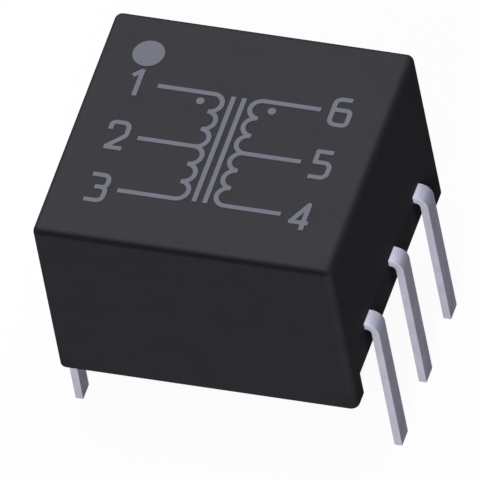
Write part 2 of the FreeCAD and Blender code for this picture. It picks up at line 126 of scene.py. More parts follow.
class Tree:
    """A node tree that is filled by short calls."""

    def __init__(self, tree: bpy.types.NodeTree) -> None:
        """Empties the tree of a material, a world or a group."""
        self.tree = tree
        self.tree.nodes.clear()

    def add(self, kind: str, values: dict | None = None, **settings: object) -> bpy.types.Node:
        """Adds a node.

        Args:
            kind: the node's type.
            values: by input, by name or number, a constant or the output that feeds it.
            settings: the node's own properties.

        Returns:
            The new node.
        """
        node = self.tree.nodes.new(kind)
        for name, value in settings.items():
            setattr(node, name, value)
        for key, value in (values or {}).items():
            if isinstance(value, Socket):
                self.tree.links.new(value, node.inputs[key])
            else:
                node.inputs[key].default_value = value
        return node

    def place(self, group: bpy.types.NodeTree, **values: Source) -> bpy.types.bpy_prop_collection:
        """Places a node group with its own values and returns its outputs."""
        return self.add("ShaderNodeGroup", values, node_tree=group).outputs

    def attribute(self, name: str) -> Socket:
        """Reads a vertex value by its name."""
        return self.add("ShaderNodeAttribute", attribute_name=name).outputs["Fac"]

    def maths(self, operation: str, *terms: Source) -> Socket:
        """Adds a Math node and returns its output."""
        return self.add("ShaderNodeMath", dict(enumerate(terms)), operation=operation).outputs[0]

    def product(self, *terms: Source) -> Socket:
        """Multiplies values with each other.

        Args:
            terms: two values or more, the first from a socket.

        Returns:
            Their product.
        """
        result = terms[0]
        for term in terms[1:]:
            result = self.maths("MULTIPLY", result, term)
        return result

    def weigh(self, first: Socket, second: Socket, share: float) -> Socket:
        """Adds a share of the first value and the rest of the second."""
        return self.maths("ADD", self.product(first, share), self.product(second, 1.0 - share))

    def span(self, value: Source, source: Ramp, target: Ramp) -> Socket:
        """Maps a value from one range to another.

        Args:
            value: the value.
            source: the range that it comes from, past which it is held.
            target: the range that it goes to.

        Returns:
            The mapped value.
        """
        values = {
            "Value": value,
            "From Min": source[0],
            "From Max": source[1],
            "To Min": target[0],
            "To Max": target[1],
        }
        return self.add("ShaderNodeMapRange", values).outputs[0]

    def noise(self, vector: Socket, scale: Source, detail: float, **others: float) -> Socket:
        """Adds a Noise Texture node, its scale in waves to the metre, and returns its value."""
        values = {"Vector": vector, "Scale": scale, "Detail": detail, **others}
        return self.add("ShaderNodeTexNoise", values).outputs[0]

    def blend(self, factor: Source, first: Source, second: Source) -> Socket:
        """Mixes two colours.

        Args:
            factor: the second colour's share.
            first: a colour, or the output that gives it.
            second: the same.

        Returns:
            The mixed colour.
        """
        # A Mix node that mixes colours has its factor at 0, the colours at 6 and 7, and gives at 2.
        values = {
            0: factor,
            6: (*first, 1.0) if isinstance(first, tuple) else first,
            7: (*second, 1.0) if isinstance(second, tuple) else second,
        }
        return self.add("ShaderNodeMix", values, data_type="RGBA").outputs[2]


class Group(Tree):
    """A shader node group that is being filled."""

    # Names of the inputs that are vectors.
    vectors = ("Vector", "Facing")

    def __init__(self, name: str, inputs: Sequence[str], outputs: Sequence[str]) -> None:
        """Starts a group.

        Args:
            name: the group's name.
            inputs: names of its inputs, numbers apart from those in vectors.
            outputs: names of its outputs, all numbers.
        """
        super().__init__(bpy.data.node_groups.new(name, "ShaderNodeTree"))
        sockets = self.tree.interface
        for label in inputs:
            kind = "NodeSocketVector" if label in self.vectors else "NodeSocketFloat"
            sockets.new_socket(name=label, in_out="INPUT", socket_type=kind)
        for label in outputs:
            sockets.new_socket(name=label, in_out="OUTPUT", socket_type="NodeSocketFloat")
        self.given = self.add("NodeGroupInput").outputs

    def close(self, **outputs: Socket) -> bpy.types.NodeTree:
        """Feeds the group's outputs by name and returns the group."""
        self.add("NodeGroupOutput", outputs)
        return self.tree


class Effects:
    """The node groups that several finishes share, each made once."""

    # Waves of the broad patches, the clouds and the mottling, as shares of the fine relief's.
    broad_patches = 0.06
    plating_clouds = 0.12
    mottling = 0.2
    # The scale of a streak along X, Y and Z, the last one small, so that it runs along Z.
    streak_waves = (1.0, 1.0, 0.06)
    # Distances from a pore's middle where it starts to rise and where it is level.
    pore: Ramp = (0.05, 0.35)
    # Waves to the metre of what breaks up the painted highlight, of the specks of dust and of its
    # patches.
    highlight_breaks = 4000.0
    dust_specks = 9000.0
    dust_patches = 350.0
    # What those breaks leave of the painted highlight, and what the surface's own tone does.
    highlight_broken: Ramp = (0.85, 1.0)
    highlight_uneven: Ramp = (0.7, 1.1)
    # Dust shows on what faces up this much, and above these values of its specks.
    dusty_slope: Ramp = (0.3, 1.0)
    dusty_speck: Ramp = (0.5, 0.8)

    def __init__(self) -> None:
        """Makes the groups."""
        self.reliefs = {
            Relief.GRAIN: self.grain(),
            Relief.STREAKS: self.streaks(),
            Relief.PORES: self.pores(),
            Relief.FLOW: self.flow(),
        }
        self.highlight_mask = self.wear()
        self.fine_dust = self.dust()

    @staticmethod
    def start(relief: Relief) -> tuple[Group, Socket, Socket]:
        """Starts a relief's group and gives it, the place on the object and the scale."""
        group = Group(relief.value, ("Vector", "Scale"), ("Height", "Tone"))
        return group, group.given["Vector"], group.given["Scale"]

    def grain(self) -> bpy.types.NodeTree:
        """Makes the eroded surface of a mould: fine rounded grain over broad, faint patches.

        Returns:
            The group.
        """
        group, vector, scale = self.start(Relief.GRAIN)
        fine = group.noise(vector, scale, detail=3.0, Roughness=0.55)
        broad = group.noise(vector, group.product(scale, self.broad_patches), detail=2.0)
        return group.close(Height=fine, Tone=group.weigh(fine, broad, share=0.35))

    def streaks(self) -> bpy.types.NodeTree:
        """Makes rolled and plated strip: fine streaks along Z, and soft clouds in the plating.

        Returns:
            The group.
        """
        group, vector, scale = self.start(Relief.STREAKS)
        drawn = group.add("ShaderNodeMapping", {"Vector": vector, "Scale": self.streak_waves})
        lines = group.noise(drawn.outputs[0], scale, detail=2.0)
        clouds = group.noise(vector, group.product(scale, self.plating_clouds), detail=3.0)
        return group.close(Height=lines, Tone=group.weigh(lines, clouds, share=0.4))

    def pores(self) -> bpy.types.NodeTree:
        """Makes fired powder, or cast solder: small pits in a mottled ground.

        Returns:
            The group.
        """
        group, vector, scale = self.start(Relief.PORES)
        cells = group.add("ShaderNodeTexVoronoi", {"Vector": vector, "Scale": scale})
        pits = group.span(cells.outputs["Distance"], self.pore, WHOLE)
        patches = group.noise(vector, group.product(scale, self.mottling), detail=4.0)
        return group.close(Height=pits, Tone=group.product(pits, patches))

    def flow(self) -> bpy.types.NodeTree:
        """Makes a poured and set liquid: long, shallow waves.

        Returns:
            The group.
        """
        group, vector, scale = self.start(Relief.FLOW)
        waves = group.noise(vector, scale, detail=1.0, Distortion=0.8)
        return group.close(Height=waves, Tone=waves)

    def wear(self) -> bpy.types.NodeTree:
        """Makes a painted highlight on the marked places, broken up and uneven with the surface's
        own tone.

        Returns:
            The group.
        """
        group = Group("highlight_mask", ("Vector", "Worn", "Amount", "Tone"), ("Mask",))
        given = group.given
        breaks = group.noise(given["Vector"], self.highlight_breaks, detail=3.0)
        broken = group.span(breaks, NOISE_MIDDLE, self.highlight_broken)
        uneven = group.span(given["Tone"], NOISE_MIDDLE, self.highlight_uneven)
        mask = group.product(given["Worn"], broken, given["Amount"], uneven)
        return group.close(Mask=mask)

    def dust(self) -> bpy.types.NodeTree:
        """Makes fine dust in patches on what faces up.

        Returns:
            The group.
        """
        group = Group("fine_dust", ("Vector", "Facing", "Amount"), ("Mask",))
        given = group.given
        parts = group.add("ShaderNodeSeparateXYZ", {"Vector": given["Facing"]}).outputs
        lying = group.span(parts["Z"], self.dusty_slope, WHOLE)
        specks = group.noise(given["Vector"], self.dust_specks, detail=6.0)
        patches = group.noise(given["Vector"], self.dust_patches, detail=2.0)
        spread = group.product(group.span(specks, self.dusty_speck, WHOLE), patches)
        return group.close(Mask=group.product(lying, spread, given["Amount"]))


# Finishes


@dataclass(frozen=True)
class Finish:
    """How a material looks, and the nodes that make it so. Its sizes are in metres."""

    slot: Slot
    dark: Colour
    light: Colour
    roughness: Ramp
    relief: Relief
    relief_size: float
    relief_depth: float
    metallic: float = 0.0
    specular: float = 0.5
    coat: float = 0.0
    # Colours of the painted shade and of the painted highlight, and how much of the painted
    # highlight shows.
    painted_shade: Colour = (0.5, 0.5, 0.5)
    painted_highlight: Colour = (0.5, 0.5, 0.5)
    wear: float = 0.0
    dust: float = 0.0

    def material(self, effects: Effects) -> bpy.types.Material:
        """Builds the material.

        Args:
            effects: the shared node groups.

        Returns:
            A material that reads Object coordinates.
        """
        material = bpy.data.materials.new(self.slot.value)
        material.use_nodes = True
        tree = Tree(material.node_tree)
        coordinates = tree.add("ShaderNodeTexCoord").outputs
        vector = coordinates["Object"]
        relief = tree.place(
            effects.reliefs[self.relief], Vector=vector, Scale=1 / self.relief_size
        )
        tone = relief["Tone"]
        wear = tree.place(
            effects.highlight_mask,
            Vector=vector,
            Worn=tree.attribute(HIGHLIGHT_VALUE),
            Amount=self.wear,
            Tone=tone,
        )
        dust = tree.place(
            effects.fine_dust, Vector=vector, Facing=coordinates["Normal"], Amount=self.dust
        )
        colour = tree.blend(tree.span(tone, NOISE_MIDDLE, WHOLE), self.dark, self.light)
        # Painted shade, darker where the shade value is set.
        colour = tree.blend(tree.attribute(SHADE_VALUE), colour, self.painted_shade)
        # Painted highlight, lighter where the highlight mask is set.
        colour = tree.blend(wear["Mask"], colour, self.painted_highlight)
        colour = tree.blend(dust["Mask"], colour, DUST_COLOUR)
        bump = tree.add(
            "ShaderNodeBump",
            {"Height": relief["Height"], "Strength": 1.0, "Distance": self.relief_depth},
        )
        shader = tree.add(
            "ShaderNodeBsdfPrincipled",
            {
                "Base Color": colour,
                "Roughness": tree.span(tone, NOISE_MIDDLE, self.roughness),
                "Metallic": self.metallic,
                "Normal": bump.outputs[0],
                "Specular IOR Level": self.specular,
                "Coat Weight": self.coat,
            },
        )
        tree.add("ShaderNodeOutputMaterial", {"Surface": shader.outputs[0]})
        return material


FINISHES = (
    Finish(
        slot=Slot.CASE,
        dark=(0.0390, 0.0382, 0.0408),
        light=(0.0425, 0.0417, 0.0444),
        roughness=(0.62, 0.70),
        specular=0.03,
        relief=Relief.GRAIN,
        relief_size=0.05 * MM,
        relief_depth=0.0006 * MM,
        # Painted shade on the roof's rim, and a painted highlight on the upright corners.
        painted_shade=(0.0100, 0.0098, 0.0105),
        painted_highlight=(0.072, 0.071, 0.075),
        wear=0.22,
        dust=0.02,
    ),
    Finish(
        slot=Slot.RESIN,
        dark=(0.010, 0.009, 0.009),
        light=(0.016, 0.015, 0.015),
        roughness=(0.12, 0.22),
        relief=Relief.FLOW,
        relief_size=1.2 * MM,
        relief_depth=0.02 * MM,
        dust=0.02,
    ),
    Finish(
        slot=Slot.PIN,
        dark=(0.51, 0.51, 0.61),
        light=(0.72, 0.72, 0.83),
        roughness=(0.44, 0.54),
        relief=Relief.STREAKS,
        relief_size=0.06 * MM,
        relief_depth=0.0006 * MM,
        metallic=0.08,
        # Painted shade on the bend's back, and a painted highlight on the sheared sides and the top
        # at the wall.
        painted_shade=(0.36, 0.36, 0.43),
        painted_highlight=(0.94, 0.94, 1.00),
        wear=1.0,
    ),
    Finish(
        slot=Slot.FERRITE,
        dark=(0.050, 0.050, 0.055),
        light=(0.115, 0.112, 0.115),
        roughness=(0.50, 0.75),
        relief=Relief.PORES,
        relief_size=0.05 * MM,
        relief_depth=0.004 * MM,
    ),
    Finish(
        slot=Slot.LACQUER,
        dark=(0.012, 0.130, 0.080),
        light=(0.040, 0.280, 0.180),
        roughness=(0.18, 0.35),
        relief=Relief.FLOW,
        relief_size=0.6 * MM,
        relief_depth=0.010 * MM,
        coat=0.3,
    ),
    Finish(
        slot=Slot.WIRE,
        dark=(0.42, 0.13, 0.045),
        light=(0.72, 0.30, 0.120),
        roughness=(0.18, 0.32),
        relief=Relief.FLOW,
        relief_size=0.10 * MM,
        relief_depth=0.001 * MM,
        metallic=0.9,
        coat=0.5,
    ),
    Finish(
        slot=Slot.SOLDER,
        dark=(0.50, 0.50, 0.52),
        light=(0.72, 0.72, 0.74),
        roughness=(0.15, 0.35),
        relief=Relief.PORES,
        relief_size=0.06 * MM,
        relief_depth=0.001 * MM,
        metallic=1.0,
    ),
    Finish(
        slot=Slot.INK,
        dark=(0.136, 0.144, 0.162),
        light=(0.154, 0.162, 0.180),
        roughness=(0.56, 0.68),
        specular=0.2,
        relief=Relief.GRAIN,
        relief_size=0.03 * MM,
        relief_depth=0.0010 * MM,
    ),
)


@dataclass
class Paints:
    """One material for each slot of the record."""

    effects: Effects = field(default_factory=Effects)
    by_slot: dict[Slot, bpy.types.Material] = field(default_factory=dict)

    def __post_init__(self) -> None:
        """Builds the materials."""
        for finish in FINISHES:
            self.by_slot[finish.slot] = finish.material(self.effects)

    def dress_piece(self, piece: bpy.types.Object, slot: Slot, *nodes: str) -> bpy.types.Object:
        """Gives a new piece its material and its body.

        Args:
            piece: the piece.
            slot: the slot that its finish comes from.
            nodes: the CAD nodes that it stands for, if any.

        Returns:
            The piece.
        """
        piece.data.materials.append(self.by_slot[slot])
        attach(piece, BODY)
        if nodes:
            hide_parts(*nodes)
        return piece

    def dress_node(self, node: str, slot: Slot) -> bpy.types.Object:
        """Gives a CAD node that stays in the scene its material.

        Args:
            node: the node's name.
            slot: the slot that its finish comes from.

        Returns:
            The node's object.
        """
        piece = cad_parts[node]
        for holder in piece.material_slots:
            holder.material = self.by_slot[slot]
        return piece


# Mesh work


class Workpiece:
    """A mesh that is being shaped, in millimetres."""

    def __init__(self) -> None:
        """Starts an empty mesh with the two vertex values."""
        self.mesh = bmesh.new()
        self.mesh.verts.layers.float.new(HIGHLIGHT_VALUE)
        self.mesh.verts.layers.float.new(SHADE_VALUE)

    @classmethod
    def block(cls, low: Vector, high: Vector) -> "Workpiece":
        """Starts from a block.

        Args:
            low: its lowest corner.
            high: its highest corner.

        Returns:
            The block.
        """
        work = cls()
        bmesh.ops.create_cube(work.mesh, size=1.0)
        bmesh.ops.scale(work.mesh, vec=high - low, verts=work.mesh.verts)
        bmesh.ops.translate(work.mesh, vec=(low + high) / 2, verts=work.mesh.verts)
        return work

    def faces(self, test: Callable[[bmesh.types.BMFace], bool]) -> list[bmesh.types.BMFace]:
        """Lists the faces that pass a test."""
        return [face for face in self.mesh.faces if test(face)]

    def edges(self, test: Callable[[bmesh.types.BMEdge], bool]) -> list[bmesh.types.BMEdge]:
        """Lists the edges that pass a test."""
        return [edge for edge in self.mesh.edges if test(edge)]

    def slice(self, faces: Iterable[bmesh.types.BMFace], axis: Axis, place: float) -> None:
        """Cuts faces along a plane.

        Args:
            faces: the faces to cut.
            axis: the axis that the plane is square to.
            place: where the plane crosses that axis.
        """
        normal = Vector((0.0, 0.0, 0.0))
        normal[axis.value] = 1.0
        chosen = list(faces)
        edges = {edge for face in chosen for edge in face.edges}
        bmesh.ops.bisect_plane(
            self.mesh,
            geom=[*chosen, *edges],
            dist=NEAR,
            plane_co=normal * place,
            plane_no=normal,
        )

    @staticmethod
    def region(faces: Sequence[bmesh.types.BMFace]) -> list[Geometry]:
        """Lists faces with their edges and vertices, so that an extrusion leaves none inside.

        Args:
            faces: the faces.

        Returns:
            The faces, then their edges, then their vertices.
        """
        edges = {edge for face in faces for edge in face.edges}
        points = {point for face in faces for point in face.verts}
        return [*faces, *edges, *points]

    def extrude(
        self, faces: Sequence[bmesh.types.BMFace], move: Vector
    ) -> list[bmesh.types.BMFace]:
        """Extrudes faces by a move.

        Args:
            faces: the faces, which move with what joins them.
            move: how far they go.

        Returns:
            The faces at their new place.
        """
        made = bmesh.ops.extrude_face_region(self.mesh, geom=self.region(faces))["geom"]
        points = [item for item in made if isinstance(item, bmesh.types.BMVert)]
        bmesh.ops.translate(self.mesh, vec=move, verts=points)
        return [item for item in made if isinstance(item, bmesh.types.BMFace)]

    def round_edges(
        self, edges: Sequence[bmesh.types.BMEdge], radius: float, steps: int
    ) -> None:
        """Rounds edges.

        Args:
            edges: the edges.
            radius: the round's radius.
            steps: the number of faces across it.
        """
        bmesh.ops.bevel(
            self.mesh,
            geom=list(edges),
            offset=radius,
            offset_type="OFFSET",
            segments=steps,
            profile=0.5,
            affect="EDGES",
            clamp_overlap=False,
            material=-1,
        )

    @staticmethod
    def is_sharp(edge: bmesh.types.BMEdge) -> bool:
        """True where two faces meet at a sharp angle."""
        return len(edge.link_faces) == 2 and edge.calc_face_angle(0.0) > SHARP_ANGLE

    def finish(self, name: str, place: Matrix | None = None) -> bpy.types.Object:
        """Welds and smooths the mesh, brings it to metres and makes it an object at the origin.

        Args:
            name: the piece's name.
            place: where the shape goes, in millimetres.

        Returns:
            The new object, linked to the scene.
        """
        bmesh.ops.remove_doubles(self.mesh, verts=self.mesh.verts, dist=WELD)
        bmesh.ops.recalc_face_normals(self.mesh, faces=self.mesh.faces)
        for face in self.mesh.faces:
            face.smooth = True
        for edge in self.mesh.edges:
            edge.smooth = not self.is_sharp(edge)
        self.mesh.transform(Matrix.Scale(MM, 4) @ (place or Matrix.Identity(4)))
        data = bpy.data.meshes.new(name)
        self.mesh.to_mesh(data)
        self.mesh.free()
        piece = bpy.data.objects.new(name, data)
        bpy.context.scene.collection.objects.link(piece)
        flat = piece.modifiers.new("flat_faces", "WEIGHTED_NORMAL")
        flat.keep_sharp = True
        return piece


def box_mm(node: str) -> tuple[Vector, Vector]:
    """Gives the lowest and highest corners of a CAD node, in millimetres."""
    low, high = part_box(node)
    return low / MM, high / MM


def near(first: float, second: float) -> bool:
    """True where two places are one."""
    return abs(first - second) < NEAR


def ramped(value: float, ramp: Ramp) -> float:
    """Gives how far a value has come along a ramp, from 0 at its start to 1 at its end."""
    return min(1.0, max(0.0, (value - ramp[0]) / (ramp[1] - ramp[0])))


class Assembly(Protocol):
    """What main builds: a sub-assembly that makes and dresses its own pieces."""

    def build(self, paints: Paints) -> list[bpy.types.Object]:
        """Builds and dresses the pieces and returns them."""


# Pins


@dataclass
class Pin:
    """A flat strip that leaves the case, bends down and ends square.

    Its painted highlight and painted shade go by how far a point faces along Y or up.
    """

    number: int
    thickness: float = 0.25
    bend_radius: float = 0.16
    bend_steps: int = 14
    edge_round: float = 0.018
    edge_steps: int = 3
    # Painted highlight on the sheared sides, along Y, and on the top at the wall, upwards.
    highlight_sideways: Ramp = (0.35, 0.85)
    highlight_upward: Ramp = (0.90, 1.00)
    # Painted shade on the bend's back, by how far it faces up, from the top and from the leg, and
    # how dark it is.
    shade_from_top: Ramp = (0.90, 0.55)
    shade_from_leg: Ramp = (0.00, 0.30)
    shade_strength: float = 0.85
    # Read from the CAD node: its name and side, its place along Y, and where the strip goes.
    node: str = field(init=False)
    side: Side = field(init=False)
    row: float = field(init=False)
    width: float = field(init=False)
    exit_height: float = field(init=False)
    tip: float = field(init=False)
    tail_end: float = field(init=False)
    leg_outside: float = field(init=False)

    def __post_init__(self) -> None:
        """Takes the pin's reach from its CAD node."""
        self.node = f"pin_{self.number}"
        low, high = box_mm(self.node)
        self.side = Side.RIGHT if low.x > 0 else Side.LEFT
        self.row = (low.y + high.y) / 2
        self.width = high.y - low.y
        self.exit_height = high.z
        self.tip = low.z
        self.tail_end = min(abs(low.x), abs(high.x))
        self.leg_outside = max(abs(low.x), abs(high.x))

    def shape(self) -> Workpiece:
        """Extrudes and spins the strip's section along its side view, towards +X.

        Returns:
            The strip's mesh, with its edges rounded.
        """
        work = Workpiece()
        bmesh.ops.create_grid(work.mesh, x_segments=1, y_segments=1, size=0.5)
        bmesh.ops.scale(work.mesh, vec=(self.thickness, self.width, 1.0), verts=work.mesh.verts)
        quarter = math.radians(90)
        upright = Matrix.Rotation(quarter, 3, "Y")
        bmesh.ops.rotate(work.mesh, matrix=upright, verts=work.mesh.verts)
        middle = self.exit_height - self.thickness / 2
        bmesh.ops.translate(work.mesh, vec=(self.tail_end, 0.0, middle), verts=work.mesh.verts)
        bend_x = self.leg_outside - self.thickness - self.bend_radius
        bend_z = self.exit_height - self.thickness - self.bend_radius
        ahead = work.extrude(list(work.mesh.faces), Vector((bend_x - self.tail_end, 0.0, 0.0)))
        turned = bmesh.ops.spin(
            work.mesh,
            geom=work.region(ahead),
            cent=(bend_x, 0.0, bend_z),
            axis=(0.0, 1.0, 0.0),
            angle=quarter,
            steps=self.bend_steps,
        )
        end = [item for item in turned["geom_last"] if isinstance(item, bmesh.types.BMFace)]
        work.extrude(end, Vector((0.0, 0.0, self.tip - bend_z)))
        bmesh.ops.recalc_face_normals(work.mesh, faces=work.mesh.faces)
        work.round_edges(work.edges(work.is_sharp), self.edge_round, self.edge_steps)
        return work

    def mark(self, work: Workpiece) -> None:
        """Paints a highlight on the sheared sides and the top at the wall, and shade on the bend's
        back.

        Args:
            work: the strip's mesh.
        """
        painted_highlight = work.mesh.verts.layers.float[HIGHLIGHT_VALUE]
        painted_shade = work.mesh.verts.layers.float[SHADE_VALUE]
        for point in work.mesh.verts:
            outward, sideways, up = point.normal
            # Painted highlight on the sides along Y and on the top at the wall.
            point[painted_highlight] = max(ramped(abs(sideways), self.highlight_sideways), ramped(up, self.highlight_upward) ** 2)
            if outward > 0:
                # Painted shade on the bend's back.
                back = ramped(up, self.shade_from_top) * ramped(up, self.shade_from_leg)
                point[painted_shade] = self.shade_strength * back

    def build(self, paints: Paints) -> list[bpy.types.Object]:
        """Builds and dresses the pin.

        Args:
            paints: the materials.

        Returns:
            The pin.
        """
        work = self.shape()
        self.mark(work)
        turn = Matrix.Rotation(0.0 if self.side is Side.RIGHT else math.pi, 4, "Z")
        place = Matrix.Translation((0.0, self.row, 0.0)) @ turn
        piece = work.finish(f"leg_{self.number}", place)
        return [paints.dress_piece(piece, Slot.PIN, self.node)]


# Case


@dataclass
class Case:
    """The moulded case: a roof, walls, two feet with a channel between them, and pin slots."""

    pins: Sequence[Pin]
    channel_height: float = 0.90
    edge_radius: float = 0.25
    edge_steps: int = 10
    corner_break: float = 0.02
    break_steps: int = 2
    # The least angle at which two faces of a foot meet in an edge that is broken.
    corner_angle: float = math.radians(60)
    # Painted shade on the roof's rim, by how far it faces up, from the roof and from the walls.
    rim_from_roof: Ramp = (1.00, 0.78)
    rim_from_wall: Ramp = (0.00, 0.50)
    # What the painted shade on the rim loses along the side walls.
    rim_side_loss: float = 0.4
    # Painted highlight on the upright corners, by how far they lean from both X and Y, and how
    # little they face up.
    corner_lean: Ramp = (0.00, 0.10)
    upright: float = 0.10
    # Read from the CAD nodes: the outer corners, and the cavity's highest one.
    low: Vector = field(init=False)
    high: Vector = field(init=False)
    cavity: Vector = field(init=False)

    def __post_init__(self) -> None:
        """Takes the outer corners and the cavity's highest corner from the CAD nodes."""
        self.low, self.high = box_mm("case")
        self.cavity = box_mm("potting_compound")[1]

    def is_between_feet(self, face: bmesh.types.BMFace) -> bool:
        """True for a face whose middle lies between the feet."""
        return abs(face.calc_center_median().y) < self.cavity.y

    def hollow(self, work: Workpiece) -> None:
        """Cuts the channel across the bottom, then the cavity above it.

        Args:
            work: the block that becomes the case.
        """
        for axis, place in (
            (Axis.X, -self.cavity.x),
            (Axis.X, self.cavity.x),
            (Axis.Y, -self.cavity.y),
            (Axis.Y, self.cavity.y),
            (Axis.Z, self.channel_height),
        ):
            work.slice(work.mesh.faces, axis, place)
        bottom = work.faces(
            lambda face: face.normal.z < -SQUARE and self.is_between_feet(face)
        )
        work.extrude(bottom, Vector((0.0, 0.0, self.channel_height)))
        ends = work.faces(
            lambda face: near(abs(face.calc_center_median().x), self.high.x)
            and self.is_between_feet(face)
            and face.calc_center_median().z < self.channel_height
        )
        bmesh.ops.delete(work.mesh, geom=ends, context="FACES")
        bmesh.ops.remove_doubles(work.mesh, verts=work.mesh.verts, dist=NEAR)
        opening = work.faces(
            lambda face: face.normal.z < -SQUARE
            and self.is_between_feet(face)
            and abs(face.calc_center_median().x) < self.cavity.x
        )
        work.extrude(opening, Vector((0.0, 0.0, self.cavity.z - self.channel_height)))

    def pierce(self, work: Workpiece) -> None:
        """Opens a slot for each pin through the side walls.

        Args:
            work: the hollowed case.
        """
        for pin in self.pins:
            sides = (pin.row - pin.width / 2, pin.row + pin.width / 2)
            levels = (pin.exit_height - pin.thickness, pin.exit_height)
            for axis, places in ((Axis.Y, sides), (Axis.Z, levels)):
                for place in places:
                    walls = work.faces(lambda face: abs(face.normal.x) > SQUARE)
                    work.slice(walls, axis, place)
        for pin in self.pins:
            middle = pin.exit_height - pin.thickness / 2
            mouths = work.faces(
                lambda face: abs(face.normal.x) > SQUARE
                and face.calc_center_median().x * pin.side.value > 0
                and near(face.calc_center_median().y, pin.row)
                and near(face.calc_center_median().z, middle)
            )
            rims = [edge for face in mouths for edge in face.edges]
            bmesh.ops.delete(work.mesh, geom=mouths, context="FACES_ONLY")
            bmesh.ops.bridge_loops(work.mesh, edges=rims)

    def is_outer_edge(self, edge: bmesh.types.BMEdge) -> bool:
        """Tells whether an edge is an upright corner or goes round the roof.

        Args:
            edge: the edge.

        Returns:
            True if it is.
        """
        at_side = all(near(abs(point.co.x), self.high.x) for point in edge.verts)
        at_end = all(near(abs(point.co.y), self.high.y) for point in edge.verts)
        on_top = all(near(point.co.z, self.high.z) for point in edge.verts)
        return (at_side and at_end) or (on_top and (at_side or at_end))

    def is_foot_edge(self, edge: bmesh.types.BMEdge) -> bool:
        """True on the sharp outward edges of the feet and of the side walls' lower ends."""
        low = all(point.co.z < self.channel_height + NEAR for point in edge.verts)
        return low and edge.is_convex and edge.calc_face_angle(0.0) > self.corner_angle

    def mark(self, work: Workpiece) -> None:
        """Paints shade on the roof's rim and a highlight on the upright corners.

        Args:
            work: the case's mesh, with its edges rounded.
        """
        painted_highlight = work.mesh.verts.layers.float[HIGHLIGHT_VALUE]
        painted_shade = work.mesh.verts.layers.float[SHADE_VALUE]
        for point in work.mesh.verts:
            across, lengthwise, up = point.normal
            sideways = abs(across) / max(NEAR, math.hypot(across, lengthwise))
            # Painted shade on the roof's rim.
            rim = ramped(up, self.rim_from_roof) * ramped(up, self.rim_from_wall)
            point[painted_shade] = rim * (1.0 - self.rim_side_loss * sideways)
            # Painted highlight on the upright corners.
            lean = 1.0 - max(abs(across), abs(lengthwise))
            point[painted_highlight] = ramped(lean, self.corner_lean) if abs(up) < self.upright else 0.0

    def build(self, paints: Paints) -> list[bpy.types.Object]:
        """Builds and dresses the case.

        Args:
            paints: the materials.

        Returns:
            The case.
        """
        work = Workpiece.block(self.low, self.high)
        self.hollow(work)
        self.pierce(work)
        bmesh.ops.recalc_face_normals(work.mesh, faces=work.mesh.faces)
        work.round_edges(work.edges(self.is_outer_edge), self.edge_radius, self.edge_steps)
        work.round_edges(work.edges(self.is_foot_edge), self.corner_break, self.break_steps)
        self.mark(work)
        return [paints.dress_piece(work.finish("moulded_case"), Slot.CASE, "case")]


# Potting


@dataclass
class Potting:
    """The resin, and the rim of it that climbs a little up the walls round its open face."""

    node: str = "potting_compound"
    climb: float = 0.07
    reach: float = 0.30
    rings: int = 10
    # How the rings crowd towards the wall, and how steeply the rim climbs there.
    crowding: float = 1.5
    steepness: float = 2.5

    def shape(self) -> Workpiece:
        """Shapes the rim from a flat ring, hollowed from below towards the wall.

        Returns:
            The rim's mesh, which tapers to nothing on the resin's flat face.
        """
        low, high = box_mm(self.node)
        lowered = Vector((low.x, low.y, low.z - self.climb))
        work = Workpiece.block(lowered, Vector((high.x, high.y, low.z)))
        top = work.faces(lambda face: face.normal.z > SQUARE)
        self.inset(work, top, self.reach, 0.0)
        bottom = work.faces(lambda face: face.normal.z < -SQUARE)
        level, before = self.climb, 0.0
        for ring in range(1, self.rings + 1):
            share = (ring / self.rings) ** self.crowding
            lower = self.climb * (1.0 - share) ** self.steepness
            self.inset(work, bottom, self.reach * (share - before), lower - level)
            level, before = lower, share
        bmesh.ops.delete(work.mesh, geom=[*top, *bottom], context="FACES_ONLY")
        return work

    @staticmethod
    def inset(
        work: Workpiece, faces: Sequence[bmesh.types.BMFace], width: float, depth: float
    ) -> None:
        """Insets faces evenly from their outer edges.

        Args:
            work: the mesh.
            faces: the faces, which stay the inner ones.
            width: how far they draw in.
            depth: how far they move out of their plane.
        """
        bmesh.ops.inset_region(
            work.mesh,
            faces=faces,
            thickness=width,
            depth=depth,
            use_even_offset=True,
            use_boundary=True,
        )

    def build(self, paints: Paints) -> list[bpy.types.Object]:
        """Builds and dresses the rim, dresses the resin, and returns both."""
        rim = paints.dress_piece(self.shape().finish("resin_rim"), Slot.RESIN)
        return [rim, paints.dress_node(self.node, Slot.RESIN)]


# Wound core


@dataclass
class WoundCore:
    """The parts inside the resin, which keep their CAD shapes."""

    core: str = "ferrite_core"
    coating: str = "core_coating"
    coils: tuple[str, ...] = (
        "primary_coil_a",
        "primary_coil_b",
        "secondary_coil_a",
        "secondary_coil_b",
    )

    def build(self, paints: Paints) -> list[bpy.types.Object]:
        """Dresses the ring, its coat, the coils and the solder.

        Args:
            paints: the materials.

        Returns:
            The CAD objects.
        """
        slots = {self.core: Slot.FERRITE, self.coating: Slot.LACQUER}
        slots.update({coil: Slot.WIRE for coil in self.coils})
        slots.update({f"solder_joint_{number}": Slot.SOLDER for number in PIN_NUMBERS})
        return [paints.dress_node(node, slot) for node, slot in slots.items()]


# Print on the roof


@dataclass(frozen=True)
class Numeral:
    """A pin number in whose outline square ends meet.

    Its middle is in millimetres. The corners where ends meet are shares of its width and height
    from there.
    """

    middle: tuple[float, float]
    corners: tuple[tuple[float, float], ...]


